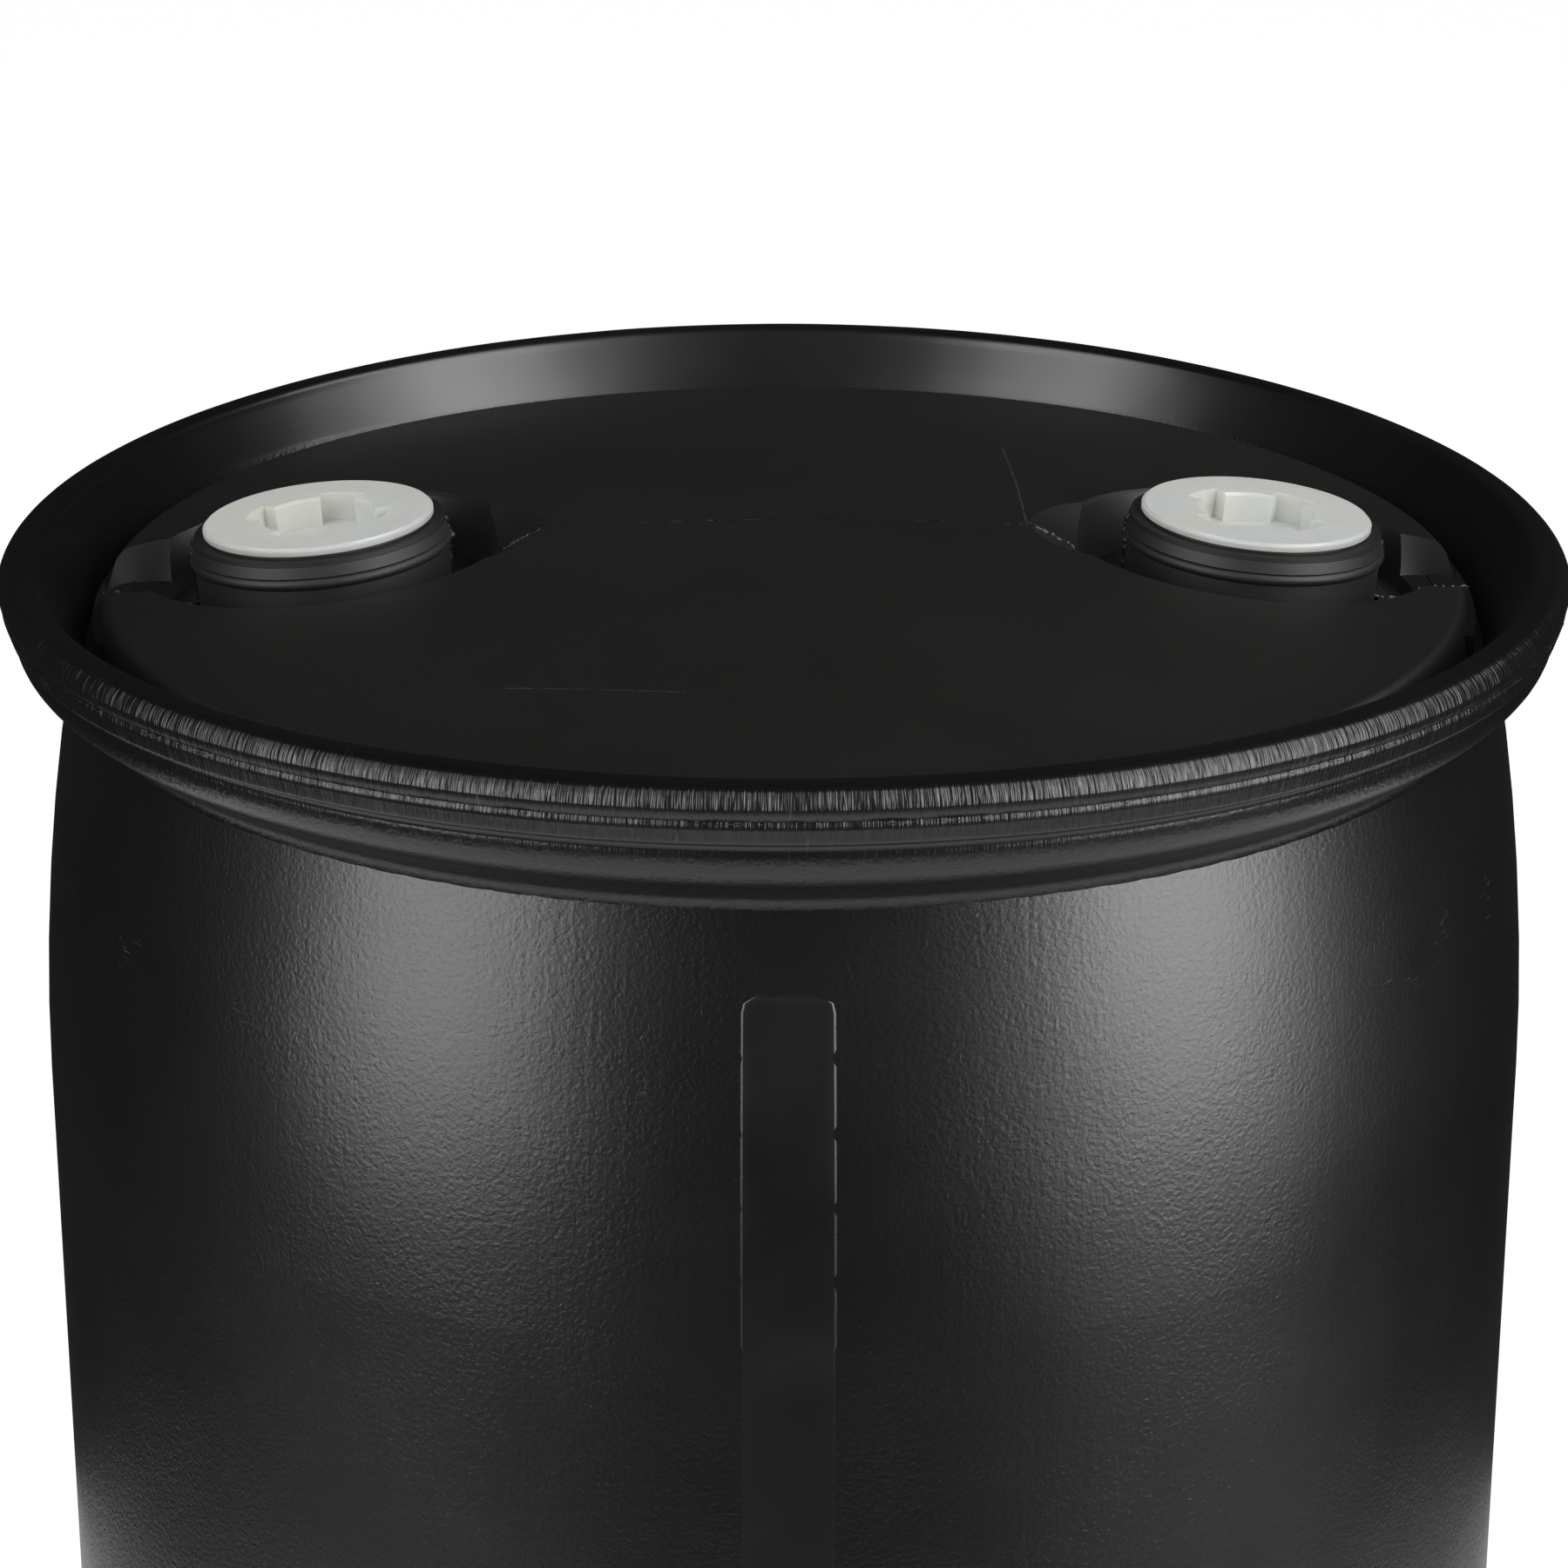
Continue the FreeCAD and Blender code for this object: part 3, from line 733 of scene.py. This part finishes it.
@dataclass
class HandlingRing:
    """The flared ring fused to a corner of the drum, with the flash in its groove."""

    facing: Facing
    node: str
    slot: str
    height: float = 737 * MM
    core: float = 200.0
    segments: int = 1080
    flash_radius: float = 238.5 * MM
    flash_depth: float = 9.9 * MM
    outline: tuple[tuple[float, float, float], ...] = (
        (214.5, -29.0, 0.0),
        (221.5, -15.4, 0.0),
        (228.0, -2.4, 3.2),
        (230.2, 0.0, 0.0),
        (235.2, 0.0, 7.6),
        (240.0, -5.4, 9.0),
        (238.6, -9.3, 0.0),
        (239.1, -10.4, 0.0),
        (237.5, -15.4, 2.6),
        (236.0, -17.0, 13.8),
        (229.8, -29.5, -74.0),
        (221.9, -35.2, -9.0),
        (219.9, -40.2, 0.0),
        (220.2, -46.0, 0.0),
        (216.5, -44.0, 0.0),
    )
    arc_steps: int = 9
    warp: float = 2.2 * MM
    warp_foot: float = 34 * MM
    warp_end: float = 12 * MM

    def profile(self) -> list[Point3]:
        """The ring's outline as curve points: radius past the core, and depth as Y.

        Returns:
            Points in the order that gives outward faces.
        """
        points: list[Point2] = []
        last = len(self.outline)
        for index, (r, z, bend) in enumerate(self.outline):
            nxt = self.outline[(index + 1) % last]
            points += self.arc((r, z), (nxt[0], nxt[1]), bend)
        sign = self.facing.value
        placed = [((r - self.core) * MM, -z * MM * sign, 0.0) for r, z in points]
        return placed if self.facing is Facing.UP else placed[::-1]

    def arc(self, start: Point2, end: Point2, bend: float) -> list[Point2]:
        """Points from start up to, not including, end on an arc.

        Args:
            start: first point.
            end: last point.
            bend: arc radius, positive bulging to the left of travel, 0 for straight.

        Returns:
            The points.
        """
        a, b = np.array(start), np.array(end)
        if not bend:
            count = max(2, int(np.linalg.norm(b - a) / 1.5))
            return [tuple(a + (b - a) * k / count) for k in range(count)]
        chord = b - a
        half = np.linalg.norm(chord) / 2
        radius = max(abs(bend), half * 1.0001)
        across = np.array((-chord[1], chord[0])) / (2 * half)
        centre = (a + b) / 2 - across * math.sqrt(radius**2 - half**2) * math.copysign(1.0, bend)
        begin = math.atan2(*(a - centre)[::-1])
        sweep = math.atan2(*(b - centre)[::-1]) - begin
        sweep = (sweep + math.pi) % (2 * math.pi) - math.pi
        return [
            tuple(centre + radius * np.array((math.cos(t), math.sin(t))))
            for t in (begin + sweep * k / self.arc_steps for k in range(self.arc_steps))
        ]

    def tree(self) -> bpy.types.NodeTree:
        """Builds the tree that turns the outline round the drum and ripples it slightly."""
        graph, given = geometry_tree(
            "handling_ring",
            {
                "Core Radius": "NodeSocketFloat",
                "Height": "NodeSocketFloat",
                "Segments": "NodeSocketInt",
                "Ripple": "NodeSocketFloat",
                "Warp": "NodeSocketFloat",
                "Seed": "NodeSocketFloat",
                "Material": "NodeSocketMaterial",
            },
        )
        out = given.outputs
        circle = graph.add(
            "GeometryNodeCurvePrimitiveCircle", {"Resolution": out["Segments"], "Radius": out["Core Radius"]}
        ).outputs[0]
        sweep = {"Curve": circle, "Profile Curve": out["Geometry"]}
        ring = graph.add("GeometryNodeCurveToMesh", sweep).outputs[0]
        place = graph.add("GeometryNodeInputPosition").outputs[0]
        x, y, z = graph.add("ShaderNodeSeparateXYZ", {0: place}).outputs
        twice = graph.math("MULTIPLY", graph.math("ARCTAN2", y, x), 2.0)
        sag = graph.math("MULTIPLY", graph.math("COSINE", twice), graph.math("MULTIPLY", out["Warp"], -1.0))
        free = graph.step(graph.math("ABSOLUTE", z), self.warp_foot, self.warp_end)
        rise = graph.math("ADD", out["Height"], graph.math("MULTIPLY", sag, free))
        lift = graph.add("ShaderNodeCombineXYZ", {2: rise}).outputs[0]
        raised = graph.add("GeometryNodeSetPosition", {"Geometry": ring, "Offset": lift}).outputs[0]
        wave = graph.add(
            "ShaderNodeTexNoise",
            {"Vector": place, "W": out["Seed"], "Scale": 22.0, "Detail": 2.0},
            noise_dimensions="4D",
        ).outputs[0]
        amount = graph.math("MULTIPLY", graph.math("MULTIPLY", wave, -1.0), out["Ripple"])
        normal = graph.add("GeometryNodeInputNormal").outputs[0]
        shift = graph.add("ShaderNodeVectorMath", {0: normal, "Scale": amount}, operation="SCALE").outputs[0]
        rippled = graph.add("GeometryNodeSetPosition", {"Geometry": raised, "Offset": shift}).outputs[0]
        return close_tree(graph, rippled, out["Material"])

    def build(self, plastic: bpy.types.Material, flash: bpy.types.Material, fins: bpy.types.NodeTree) -> None:
        """Makes the ring and its flash, and puts them in the frame.

        Args:
            plastic: the ring's finish.
            flash: the flash's finish.
            fins: the fin tree.
        """
        level = self.height if self.facing is Facing.UP else 0.0
        warp = self.warp if self.facing is Facing.UP else 0.0
        ring = bake(
            f"{self.node}_moulding",
            poly_curve("ring_outline", self.profile(), True),
            self.tree(),
            {
                "Core Radius": self.core * MM,
                "Height": level,
                "Segments": self.segments,
                "Ripple": 0.25 * MM,
                "Warp": warp,
                "Seed": 3.0,
                "Material": plastic,
            },
        )
        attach(ring, Body.DRUM.value)
        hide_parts(self.node)
        LOG.info("%s: %d faces", ring.name, len(ring.data.polygons))
        groove = level - self.facing.value * self.flash_depth
        count = 1440
        turns = [2 * math.pi * k / count for k in range(count)]
        reach = self.flash_radius
        path = [(reach * math.cos(t), reach * math.sin(t), groove - warp * math.cos(2 * t)) for t in turns]
        fin = bake(
            f"{self.node}_flash",
            poly_curve("flash_path", path, True),
            fins,
            {
                "Width": 0.35 * MM,
                "Height": 1.2 * MM,
                "Lean": 0.0,
                "Raggedness": 70.0,
                "Gaps": 0.38,
                "Wander": 0.5 * MM,
                "Seed": 11.0,
                "Material": flash,
            },
        )
        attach(fin, Body.DRUM.value)
        LOG.info("%s: %d faces", fin.name, len(fin.data.polygons))


@dataclass
class Shell:
    """The drum's shell: its finish, parting flash and the smooth front panel."""

    node: str = "drum_shell"
    slot: str = "shell_plastic"
    height: float = 737 * MM
    body_radius: float = 232 * MM
    shoulder: float = 165 * MM
    flare_radius: float = 661.7 * MM
    dome_radius: float = 1408.3 * MM
    dome_top: float = 739 * MM
    neck_offset: float = 144.2 * MM
    neck_shift: float = 1.2 * MM
    neck_level: float = 738.1 * MM
    neck_tilt: float = math.radians(4.6)
    neck_line: tuple[Point2, ...] = (
        (38.7, -0.8),
        (39.1, -1.8),
        (39.8, -4.6),
        (39.5, -5.2),
        (40.4, -6.8),
        (39.4, -8.5),
        (39.2, -11.0),
        (39.2, -21.6),
    )
    inner_wall: tuple[Point2, ...] = ((41.0, -22.2), (49.0, -22.2), (54.2, -15.7), (55.2, -13.0))
    outer_wall: tuple[Point2, ...] = ((41.0, -22.2), (49.0, -22.2), (51.3, -19.4))
    valley_line: tuple[Point2, ...] = ((86.0, 730.7), (80.0, 734.1), (75.5, 736.6))
    outlet_line: tuple[Point2, ...] = ((196.0, 715.6), (201.0, 715.8), (211.5, 716.0))
    neck_fin: Point3 = (1.7, 0.5, 0.34)
    seam_fin: Point3 = (0.30, 0.35, 0.30)
    seam_reach: float = 73 * MM
    seam_steps: int = 60
    panel_azimuth: float = math.radians(-90.6)
    panel_half_width: float = 13.3 * MM
    panel_top: float = 675 * MM
    panel_bottom: float = 62 * MM
    panel_corner: float = 5 * MM
    panel_rise: float = 0.05 * MM
    panel_sink: float = 0.12 * MM
    panel_bevel: float = 3.0 * MM
    panel_back: float = 0.995

    def wall_radius(self, z: float) -> float:
        """The wall's outer radius at a height.

        Args:
            z: the height.

        Returns:
            The radius.
        """
        away = min(z, self.height - z)
        rise = max(0.0, self.shoulder - away)
        return self.body_radius - (self.flare_radius - math.sqrt(self.flare_radius**2 - rise**2))

    def dome_height(self, x: float) -> float:
        """The head's height at a distance from the axis.

        Args:
            x: distance from the axis.

        Returns:
            The height.
        """
        return self.dome_top - (self.dome_radius - math.sqrt(self.dome_radius**2 - x**2))

    def neck_place(self, side: Side, outward: float, up: float) -> Point3:
        """A point of the tilted neck frame, on the parting plane, in the drum's frame.

        Args:
            side: which neck.
            outward: distance from the neck's axis, positive away from the drum's axis.
            up: height above the neck's rim, along its axis.

        Returns:
            The point.
        """
        along = outward * math.cos(self.neck_tilt) + up * math.sin(self.neck_tilt)
        rise = up * math.cos(self.neck_tilt) - outward * math.sin(self.neck_tilt)
        return (side.value * (self.neck_offset + along) + self.neck_shift, 0.0, self.neck_level + rise)

    def neck_path(self, side: Side, inner: bool) -> list[Point3]:
        """The parting line down one side of a neck, in the order of rising X.

        Args:
            side: which neck.
            inner: the side towards the drum's axis, which goes on up the pocket's wall.

        Returns:
            The path's points.
        """
        reach = -1.0 if inner else 1.0
        wall, slope = (self.inner_wall, self.valley_line) if inner else (self.outer_wall, self.outlet_line)
        points = [self.neck_place(side, reach * r * MM, z * MM) for r, z in self.neck_line + wall]
        points += [(side.value * x * MM + self.neck_shift, 0.0, z * MM) for x, z in slope]
        rising = sorted((points[0][0], points[-1][0])) == [points[0][0], points[-1][0]]
        return points if rising else points[::-1]

    def flash(self, fins: bpy.types.NodeTree, material: bpy.types.Material) -> None:
        """Adds the fins that the mould's parting plane leaves on necks and head.

        Args:
            fins: the fin tree.
            material: the flash's finish.
        """
        runs: list[tuple[str, list[Point3], Point3]] = []
        for side in Side:
            for inner in (True, False):
                word = "inner" if inner else "outer"
                runs.append((f"{side.word}_neck_{word}_flash", self.neck_path(side, inner), self.neck_fin))
        shares = (2 * k / self.seam_steps - 1 for k in range(self.seam_steps + 1))
        seam = [(x, 0.0, self.dome_height(x)) for x in (self.seam_reach * share for share in shares)]
        runs.append(("head_seam", seam, self.seam_fin))
        for index, (name, points, (height, width, gaps)) in enumerate(runs):
            fin = bake(
                name,
                poly_curve("flash_path", points, False),
                fins,
                {
                    "Width": width * MM,
                    "Height": height * MM,
                    "Lean": -math.pi / 2,
                    "Raggedness": 260.0,
                    "Gaps": gaps,
                    "Wander": 0.6 * MM,
                    "Seed": 20.0 + index,
                    "Material": material,
                },
            )
            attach(fin, Body.DRUM.value)
            LOG.info("%s: %d faces", name, len(fin.data.polygons))

    def panel(self, material: bpy.types.Material) -> None:
        """Adds the smooth strip down the front, its rim sunk into the wall.

        Args:
            material: the strip's finish.
        """
        across, down = 28, 240
        half, rise = self.panel_half_width, self.panel_rise
        vertices: list[Point3] = []
        for row in range(down + 1):
            z = self.panel_top + (self.panel_bottom - self.panel_top) * row / down
            end = min(self.panel_top - z, z - self.panel_bottom)
            short = max(0.0, self.panel_corner - end)
            width = half - self.panel_corner + math.sqrt(max(0.0, self.panel_corner**2 - short**2))
            for column in range(across + 1):
                s = 2 * column / across - 1
                edge = min(1.0, (1 - abs(s)) * width / self.panel_bevel, end / self.panel_bevel)
                ease = 3 * edge**2 - 2 * edge**3
                r = self.wall_radius(z) + (rise + self.panel_sink) * ease - self.panel_sink
                angle = self.panel_azimuth + s * width / self.body_radius
                vertices.append((r * math.cos(angle), r * math.sin(angle), z))
        outer = len(vertices)
        vertices += [(x * self.panel_back, y * self.panel_back, z) for x, y, z in vertices]
        faces: list[tuple[int, ...]] = []
        wide = across + 1
        for row in range(down):
            for column in range(across):
                a = row * wide + column
                quad = (a, a + wide, a + wide + 1, a + 1)
                faces.append(quad)
                faces.append(tuple(outer + k for k in reversed(quad)))
        rim = [k for k in range(wide)]
        rim += [row * wide + across for row in range(1, down + 1)]
        rim += [down * wide + k for k in range(across - 1, -1, -1)]
        rim += [row * wide for row in range(down - 1, 0, -1)]
        for a, b in zip(rim, rim[1:] + rim[:1]):
            faces.append((a, b, outer + b, outer + a))
        mesh = bpy.data.meshes.new("front_panel")
        mesh.from_pydata(vertices, [], faces)
        mesh.materials.append(material)
        mesh.polygons.foreach_set("use_smooth", [True] * len(mesh.polygons))
        piece = mesh_object("front_panel", mesh)
        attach(piece, Body.DRUM.value)
        LOG.info("front_panel: %d faces", len(faces))

    def dress(self, material: bpy.types.Material) -> None:
        """Gives the frame's shell its finish.

        Args:
            material: the shell's finish.
        """
        dress_node(self.node, material)


def dress_node(node: str, material: bpy.types.Material) -> None:
    """Puts a finish in every material slot of a frame node.

    Args:
        node: the frame node.
        material: its finish.
    """
    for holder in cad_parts[node].material_slots:
        holder.material = material
    LOG.info("%s: dressed", node)


@dataclass
class PlugSet:
    """The two plugs and their gaskets."""

    sides: tuple[Side, ...] = (Side.LEFT, Side.RIGHT)

    def dress(self) -> None:
        """Gives every plug and gasket its finish."""
        for side in self.sides:
            dress_node(f"plug_{side.word}", PlugPlastic(f"{side.word}_plug_white").material())
            dress_node(f"gasket_{side.word}", GasketRubber(f"{side.word}_gasket_rubber").material())


@dataclass(frozen=True)
class Softbox:
    """One rectangular light, aimed at a height on the drum's axis; soft ones light without mirroring."""

    name: str
    azimuth: float
    distance: float
    height: float
    aimed: float
    width: float
    tall: float
    power: float
    soft: bool


@dataclass
class Studio:
    """Floor, light and camera."""

    camera_distance: float = 1.383
    camera_height: float = 1.1653
    camera_pitch: float = math.radians(20.357)
    camera_turn: float = -0.0157
    lens: float = 107.78
    floor_size: float = 60.0
    softboxes: tuple[Softbox, ...] = (
        Softbox("softbox_left", -50.0, 1.7, 1.15, 1.15, 1.0, 1.9, 34.0, False),
        Softbox("softbox_right", 55.5, 1.7, 1.15, 1.15, 1.05, 1.9, 52.0, False),
        Softbox("upper_left", -62.0, 1.3, 2.1, 0.74, 0.8, 0.9, 7.0, False),
        Softbox("upper_right", 76.0, 1.3, 2.1, 0.74, 1.3, 0.9, 19.0, False),
        Softbox("fill_left", -51.0, 1.7, 1.6, 0.74, 1.05, 1.0, 6.0, True),
        Softbox("fill_right", 55.0, 1.7, 1.6, 0.74, 1.05, 1.0, 12.0, True),
    )
    glow_size: float = 1.7
    glow_power: float = 7.0
    world_strength: float = 0.50
    reflected_strength: float = 0.010

    def build(self) -> None:
        """Puts the studio together."""
        self.camera()
        self.floor()
        self.lights()
        self.world()
        bpy.context.scene.view_settings.view_transform = "Standard"

    def camera(self) -> None:
        """Places the camera at the viewing angle."""
        lens = bpy.data.cameras.new("camera")
        lens.lens = self.lens
        lens.sensor_width = 36.0
        lens.clip_start = 0.05
        lens.clip_end = 200.0
        camera = bpy.data.objects.new("camera", lens)
        turn = self.camera_turn
        camera.location = (
            self.camera_distance * math.sin(turn),
            -self.camera_distance * math.cos(turn),
            self.camera_height,
        )
        camera.rotation_euler = (math.pi / 2 - self.camera_pitch, 0.0, turn)
        bpy.context.scene.collection.objects.link(camera)
        bpy.context.scene.camera = camera

    def floor(self) -> None:
        """Lays the pale floor."""
        half = self.floor_size / 2
        mesh = bpy.data.meshes.new("floor")
        corners = [(-half, -half, 0), (half, -half, 0), (half, half, 0), (-half, half, 0)]
        mesh.from_pydata(corners, [], [(0, 1, 2, 3)])
        mesh.materials.append(StudioFloor().material())
        floor = mesh_object("floor", mesh)
        floor.visible_glossy = False

    def lights(self) -> None:
        """Hangs the softboxes and adds the floor's glow."""
        for box in self.softboxes:
            light = bpy.data.lights.new(box.name, "AREA")
            light.shape = "RECTANGLE"
            light.size = box.width
            light.size_y = box.tall
            light.energy = box.power
            holder = bpy.data.objects.new(box.name, light)
            angle = math.radians(box.azimuth)
            holder.location = (box.distance * math.sin(angle), -box.distance * math.cos(angle), box.height)
            aim = Vector((0.0, 0.0, box.aimed)) - holder.location
            holder.rotation_euler = aim.to_track_quat("-Z", "Y").to_euler()
            holder.visible_diffuse = box.soft
            holder.visible_glossy = not box.soft
            bpy.context.scene.collection.objects.link(holder)
        self.glow()

    def glow(self) -> None:
        """Lets the ring's underside mirror the bright floor close to the drum."""
        light = bpy.data.lights.new("floor_glow", "AREA")
        light.shape = "DISK"
        light.size = self.glow_size
        light.energy = self.glow_power
        holder = bpy.data.objects.new("floor_glow", light)
        holder.location = (0.0, 0.0, 0.002)
        holder.rotation_euler = (math.pi, 0.0, 0.0)
        holder.visible_diffuse = False
        holder.visible_camera = False
        bpy.context.scene.collection.objects.link(holder)

    def world(self) -> None:
        """Sets a soft white surround that stays dim in reflections."""
        world = bpy.data.worlds.new("studio")
        bpy.context.scene.world = world
        world.use_nodes = True
        graph = Graph(world.node_tree)
        rays = graph.add("ShaderNodeLightPath")
        white = (1.0, 1.0, 1.0, 1.0)
        way = graph.add("ShaderNodeTexCoord").outputs["Generated"]
        up = graph.add("ShaderNodeSeparateXYZ", {0: way}).outputs[2]
        sky = graph.math("MULTIPLY", graph.step(up, -0.15, 0.15), self.world_strength)
        shown = graph.math("MAXIMUM", sky, rays.outputs["Is Camera Ray"])
        dim = graph.add("ShaderNodeBackground", {"Color": white, "Strength": self.reflected_strength})
        soft = graph.add("ShaderNodeBackground", {"Color": white, "Strength": shown})
        parts = {0: rays.outputs["Is Glossy Ray"], 1: soft.outputs[0], 2: dim.outputs[0]}
        mixed = graph.add("ShaderNodeMixShader", parts).outputs[0]
        graph.add("ShaderNodeOutputWorld", {"Surface": mixed})


def main() -> None:
    """Builds every piece in order."""
    logging.basicConfig(level=logging.INFO, format="%(name)s: %(message)s")
    fins = FlashFins().tree()
    flash = FlashPlastic().material()
    ring = RingPlastic().material()
    shell = Shell()
    shell.dress(BlackPlastic().material())
    shell.flash(fins, flash)
    shell.panel(PanelPlastic().material())
    HandlingRing(Facing.UP, "upper_handling_ring", "ring_plastic").build(ring, flash, fins)
    HandlingRing(Facing.DOWN, "base_ring", "base_ring_plastic", segments=540).build(ring, flash, fins)
    PlugSet().dress()
    Studio().build()


if __name__ == "__main__":
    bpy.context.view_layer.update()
    main()
